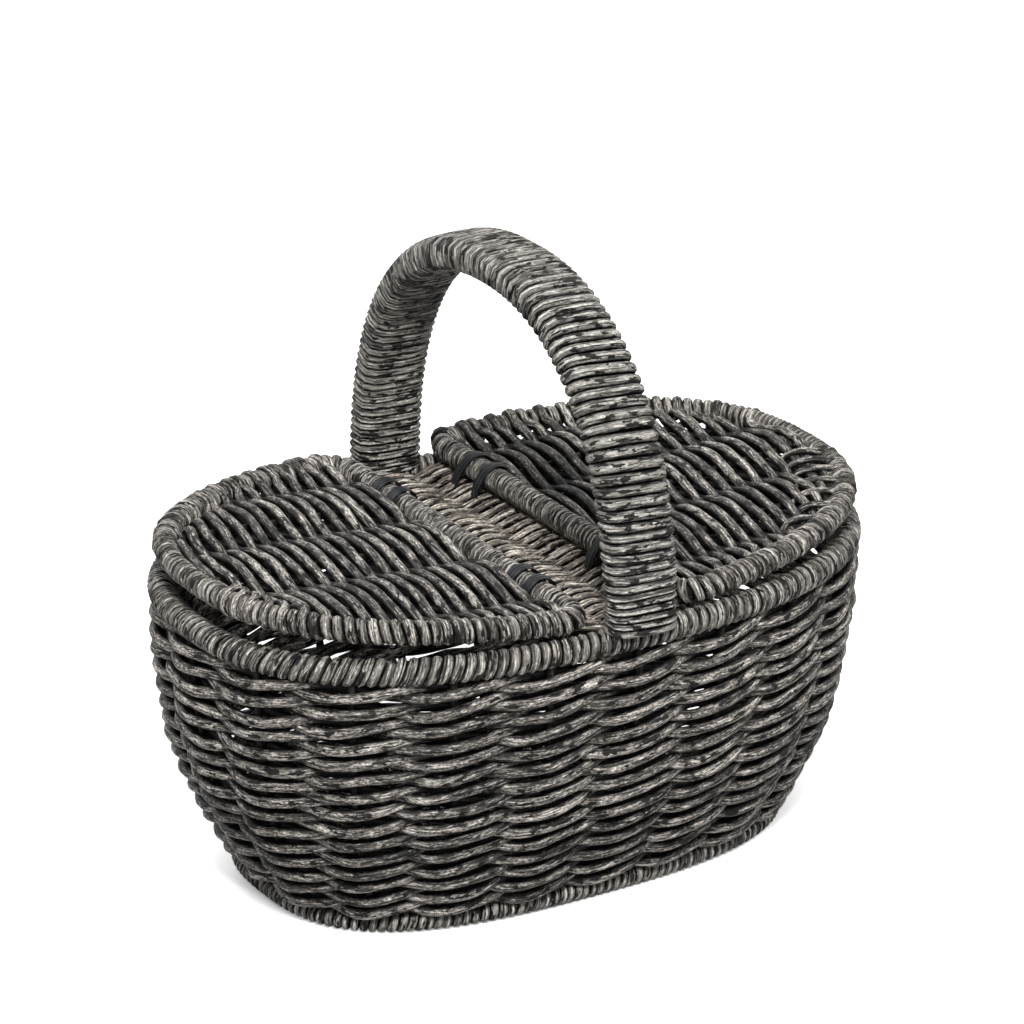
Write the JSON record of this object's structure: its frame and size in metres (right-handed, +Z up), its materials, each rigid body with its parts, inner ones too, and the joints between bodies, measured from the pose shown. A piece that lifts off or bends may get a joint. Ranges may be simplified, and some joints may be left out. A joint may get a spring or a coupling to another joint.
{
  "type": "lidded basket",
  "caption": "Oval wicker basket with a fixed wrapped arch handle, a woven bridge and a D-shaped lid hinged on each side of it.",
  "frame": {"origin": "on the ground in the middle of the foot", "axes": "+X along the basket towards the right lid, +Y to the back, +Z up; the handle stands in the YZ plane"},
  "size_m": [0.4198, 0.297, 0.3595],
  "materials": {
    "woven_strand": "weathered grey-brown round cane strands, matt with lighter streaks",
    "wrapping_strand": "weathered grey cane wound in close turns, matt",
    "cane": "grey-stained cane rod, matt",
    "hinge_tie": "near-black ribbed flat strip, low sheen"
  },
  "bodies": {
    "root": {"foot_core": "cane", "foot_wrap": "wrapping_strand", "base_panel": "woven_strand", "base_stick_1": "cane", "base_stick_2": "cane", "base_stick_3": "cane", "wall_weave": "woven_strand", "stake_01": "cane", "stake_02": "cane", "stake_03": "cane", "stake_04": "cane", "stake_05": "cane", "stake_06": "cane", "stake_07": "cane", "stake_08": "cane", "stake_09": "cane", "stake_10": "cane", "stake_11": "cane", "stake_12": "cane", "stake_13": "cane", "stake_14": "cane", "stake_15": "cane", "stake_16": "cane", "stake_17": "cane", "stake_18": "cane", "stake_19": "cane", "stake_20": "cane", "rim_core": "cane", "rim_wrap": "wrapping_strand", "handle_rod_1": "cane", "handle_rod_2": "cane", "handle_rod_3": "cane", "handle_wrap": "wrapping_strand", "bridge_rail_left": "wrapping_strand", "bridge_rail_right": "wrapping_strand", "bridge_panel": "woven_strand", "bridge_rib": "cane", "hinge_tie_left_1": "hinge_tie", "hinge_tie_left_2": "hinge_tie", "hinge_tie_left_3": "hinge_tie", "hinge_tie_left_4": "hinge_tie", "hinge_tie_right_1": "hinge_tie", "hinge_tie_right_2": "hinge_tie", "hinge_tie_right_3": "hinge_tie", "hinge_tie_right_4": "hinge_tie"},
    "left_lid": {"lid_left_hoop": "cane", "lid_left_wrap": "wrapping_strand", "lid_left_panel": "woven_strand", "lid_left_rib_1": "cane", "lid_left_rib_2": "cane", "lid_left_rib_3": "cane"},
    "right_lid": {"lid_right_hoop": "cane", "lid_right_wrap": "wrapping_strand", "lid_right_panel": "woven_strand", "lid_right_rib_1": "cane", "lid_right_rib_2": "cane", "lid_right_rib_3": "cane"}
  },
  "joints": [
    {"name": "left_lid_hinge", "type": "hinge", "parent": "root", "child": "left_lid", "pos_m": [-0.034, 0, 0.1904], "axis": [0, 1, 0], "range_deg": [0, 88]},
    {"name": "right_lid_hinge", "type": "hinge", "parent": "root", "child": "right_lid", "pos_m": [0.031, 0, 0.1904], "axis": [0, -1, 0], "range_deg": [0, 87]}
  ]
}
